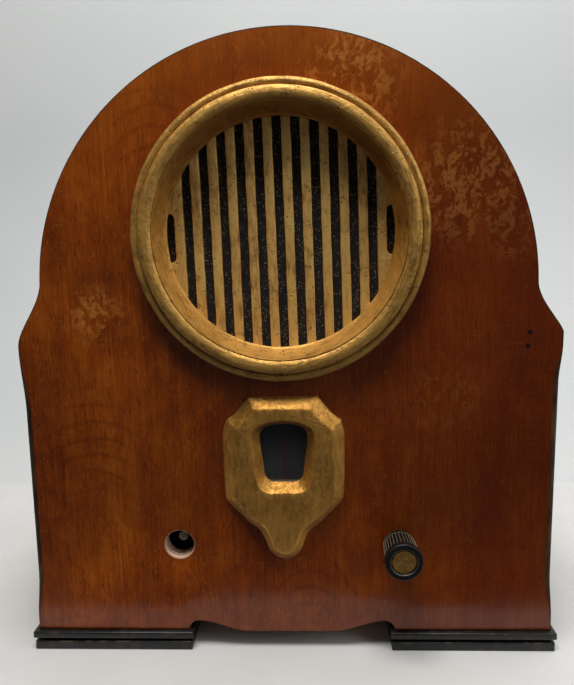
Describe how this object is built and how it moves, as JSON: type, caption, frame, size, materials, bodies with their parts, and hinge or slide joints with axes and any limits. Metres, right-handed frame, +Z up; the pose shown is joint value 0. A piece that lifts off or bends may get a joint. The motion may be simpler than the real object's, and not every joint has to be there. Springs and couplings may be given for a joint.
{
  "type": "table radio",
  "caption": "Arched veneered wooden table radio, gilt round grille with upright slats, shield-shaped dial escutcheon, two control positions with one fluted knob, full valve chassis inside",
  "frame": {"origin": "Middle of the bounding box in X and Y, at the underside of the feet in Z.", "axes": "+Z up, +Y from the front towards the back, +X to the right of someone facing the front."},
  "size_m": [0.3372, 0.2224, 0.382],
  "materials": {
    "veneered_wood": "varnished fine-grained veneer",
    "plain_wood": "bare plywood and pine",
    "fibreboard": "brown pressed fibreboard",
    "plated_steel": "dull plated steel",
    "black_paint": "black painted wood",
    "gilt_paint": "aged gold paint with brown toning",
    "grille_cloth": "black woven cloth with a fine metallic thread",
    "dial_glass": "thin clear window",
    "red_paint": "red line",
    "painted_steel": "dark painted steel",
    "cone_paper": "pressed paper",
    "copper_wire": "varnished winding",
    "chassis_steel": "cadmium-plated sheet steel",
    "aluminium": "plain aluminium",
    "bakelite": "moulded bakelite",
    "valve_glass": "clear glass with a silvered getter",
    "cloth_braid": "braided cotton",
    "grommet_rubber": "aged rubber",
    "waxed_card": "waxed card tubes",
    "dial_card": "printed dial card",
    "brass": "dull brass"
  },
  "bodies": {
    "cabinet": {"front_panel": "veneered_wood", "cabinet_wrap": "veneered_wood", "cabinet_floor": "plain_wood", "corner_blocks": "plain_wood", "back_cleats": "plain_wood", "back_cover": "fibreboard", "wood_screws": "plated_steel", "foot_left_upper": "black_paint", "foot_left_lower": "black_paint", "foot_right_upper": "black_paint", "foot_right_lower": "black_paint", "grille_bezel": "gilt_paint", "grille_slats": "gilt_paint", "grille_cloth": "grille_cloth", "dial_escutcheon": "gilt_paint", "dial_window": "dial_glass", "dial_hairline": "red_paint", "speaker_baffle": "plain_wood", "speaker_frame": "painted_steel", "field_magnet": "painted_steel", "speaker_bolts": "plated_steel", "chassis_pan": "chassis_steel", "chassis_bolts": "plated_steel", "mains_transformer_core": "painted_steel", "mains_transformer_coil": "copper_wire", "output_transformer": "painted_steel", "filter_capacitors": "aluminium", "if_cans": "aluminium", "valve_sockets": "bakelite", "valve_bases": "bakelite", "valve_electrodes": "aluminium", "rectifier_glass": "valve_glass", "output_glass": "valve_glass", "detector_glass": "valve_glass", "if_amplifier_glass": "valve_glass", "mixer_glass": "valve_glass", "grid_leads": "cloth_braid", "speaker_lead": "cloth_braid", "aerial_terminals": "bakelite", "mains_grommet": "grommet_rubber", "paper_capacitors": "waxed_card", "resistors": "waxed_card", "gang_frame": "chassis_steel", "gang_stators": "aluminium", "drive_cord": "cloth_braid", "shaft_bushes": "brass", "volume_control": "plated_steel", "dial_lamp": "valve_glass", "dial_lamp_holder": "plated_steel"},
    "tuning_spindle": {"tuning_shaft": "plated_steel", "tuning_knob": "bakelite", "knob_badge": "brass", "knob_grub_screw": "plated_steel"},
    "dial_assembly": {"gang_rotor": "aluminium", "dial_disc": "dial_card", "drive_drum": "bakelite"},
    "volume_spindle": {"volume_shaft": "plated_steel"},
    "cone_assembly": {"speaker_cone": "cone_paper", "voice_coil": "copper_wire", "dust_cap": "cone_paper"}
  },
  "joints": [
    {"name": "dial_turn", "type": "hinge", "parent": "cabinet", "child": "dial_assembly", "pos_m": [-0.003, -0.01175, 0.107], "axis": [0, 1, 0], "range_deg": [-90, 90]},
    {"name": "tuning_knob_turn", "type": "hinge", "parent": "cabinet", "child": "tuning_spindle", "pos_m": [0.0685, -0.05075, 0.0712], "axis": [0, 1, 0], "range_deg": [-900, 900]},
    {"name": "volume_turn", "type": "hinge", "parent": "cabinet", "child": "volume_spindle", "pos_m": [-0.0705, -0.05075, 0.0712], "axis": [0, 1, 0], "range_deg": [-150, 150]},
    {"name": "cone_travel", "type": "slide", "parent": "cabinet", "child": "cone_assembly", "axis": [0, 1, 0], "range_m": [-0.001, 0.001], "stiffness_N_per_m": 1500}
  ],
  "couplings": [
    {"joint": "tuning_knob_turn", "follows": "dial_turn", "ratio": 10}
  ]
}
